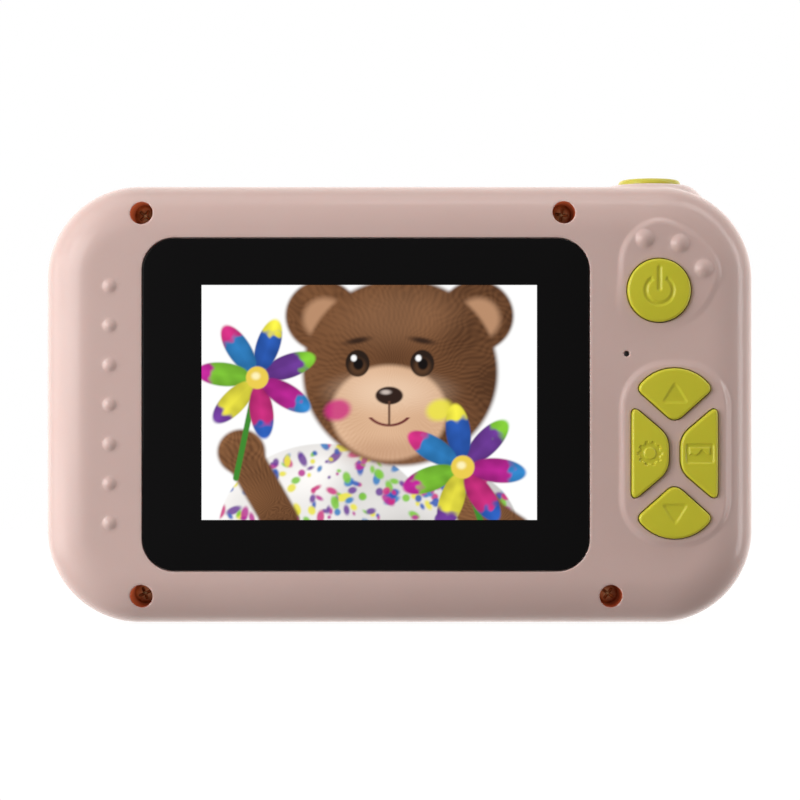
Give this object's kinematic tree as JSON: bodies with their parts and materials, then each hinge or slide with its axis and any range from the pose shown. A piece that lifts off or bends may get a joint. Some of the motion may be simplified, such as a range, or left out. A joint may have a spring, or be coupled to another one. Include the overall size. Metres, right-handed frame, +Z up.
{
  "type": "kids digital camera",
  "caption": "Rounded two-shell toy camera with a screen window, arrow and function keys, a top shutter button, a round lens and a hinged side port cover.",
  "frame": {"origin": "on the flat bottom of the case, halfway along its length and halfway through its thickness", "axes": "+Z up, +X along the case towards the keys, -Y out of the screen, +Y out of the lens"},
  "size_m": [0.104, 0.0284, 0.0659],
  "materials": {
    "shell": "satin moulded plastic with a very fine texture",
    "port_rubber": "soft matt",
    "keys": "satin",
    "screen_border": "polished",
    "screen": "polished, lit from behind",
    "clear": "polished",
    "black_plastic": "matt",
    "white_plastic": "satin",
    "film": "satin",
    "board": "satin solder mask",
    "steel": "plated",
    "bronze": "dark plated",
    "foil": "satin pouch film"
  },
  "bodies": {
    "root": {"rear_cover": "shell", "front_housing": "shell", "display_window": "screen_border", "lcd_panel": "screen", "lcd_backlight": "white_plastic", "lcd_holder": "black_plastic", "lcd_flex": "film", "lcd_connector": "white_plastic", "power_switch": "black_plastic", "up_switch": "black_plastic", "down_switch": "black_plastic", "settings_switch": "black_plastic", "playback_switch": "black_plastic", "key_board": "board", "microphone": "steel", "shutter_switch": "black_plastic", "shutter_board": "board", "main_board": "board", "processor_chip": "black_plastic", "usb_connector": "steel", "memory_card_socket": "steel", "port_cover_pin": "steel", "lens_ring": "keys", "lens_window": "clear", "lens_baffle": "black_plastic", "lens_barrel": "black_plastic", "lens_element": "clear", "lens_holder": "black_plastic", "image_sensor": "black_plastic", "flash_window": "clear", "flash_led": "white_plastic", "battery": "foil", "speaker": "black_plastic", "case_screw_1": "bronze", "case_screw_2": "bronze", "case_screw_3": "bronze", "case_screw_4": "bronze", "key_board_screw_1": "steel", "key_board_screw_2": "steel", "key_board_screw_3": "steel", "main_board_screw_1": "steel", "main_board_screw_2": "steel", "main_board_screw_3": "steel", "main_board_screw_4": "steel"},
    "power_button": {"power_button": "keys", "power_plunger": "white_plastic"},
    "up_key": {"up_key": "keys", "up_plunger": "white_plastic"},
    "down_key": {"down_key": "keys", "down_plunger": "white_plastic"},
    "settings_key": {"settings_key": "keys", "settings_plunger": "white_plastic"},
    "playback_key": {"playback_key": "keys", "playback_plunger": "white_plastic"},
    "shutter_button": {"shutter_button": "keys", "shutter_plunger": "white_plastic"},
    "port_cover": {"port_cover": "port_rubber"}
  },
  "joints": [
    {"name": "power_press", "type": "slide", "parent": "root", "child": "power_button", "axis": [0, 1, 0], "range_m": [0, 0.0004], "stiffness_N_per_m": 2500},
    {"name": "up_press", "type": "slide", "parent": "root", "child": "up_key", "axis": [0, 1, 0], "range_m": [0, 0.0004], "stiffness_N_per_m": 2500},
    {"name": "down_press", "type": "slide", "parent": "root", "child": "down_key", "axis": [0, 1, 0], "range_m": [0, 0.0004], "stiffness_N_per_m": 2500},
    {"name": "settings_press", "type": "slide", "parent": "root", "child": "settings_key", "axis": [0, 1, 0], "range_m": [0, 0.0004], "stiffness_N_per_m": 2500},
    {"name": "playback_press", "type": "slide", "parent": "root", "child": "playback_key", "axis": [0, 1, 0], "range_m": [0, 0.0004], "stiffness_N_per_m": 2500},
    {"name": "shutter_press", "type": "slide", "parent": "root", "child": "shutter_button", "axis": [0, 0, -1], "range_m": [0, 0.0005], "stiffness_N_per_m": 2500},
    {"name": "port_cover_hinge", "type": "hinge", "parent": "root", "child": "port_cover", "pos_m": [-0.05145, -0.0021, 0.0448], "axis": [0, 1, 0], "range_deg": [0, 95]}
  ]
}
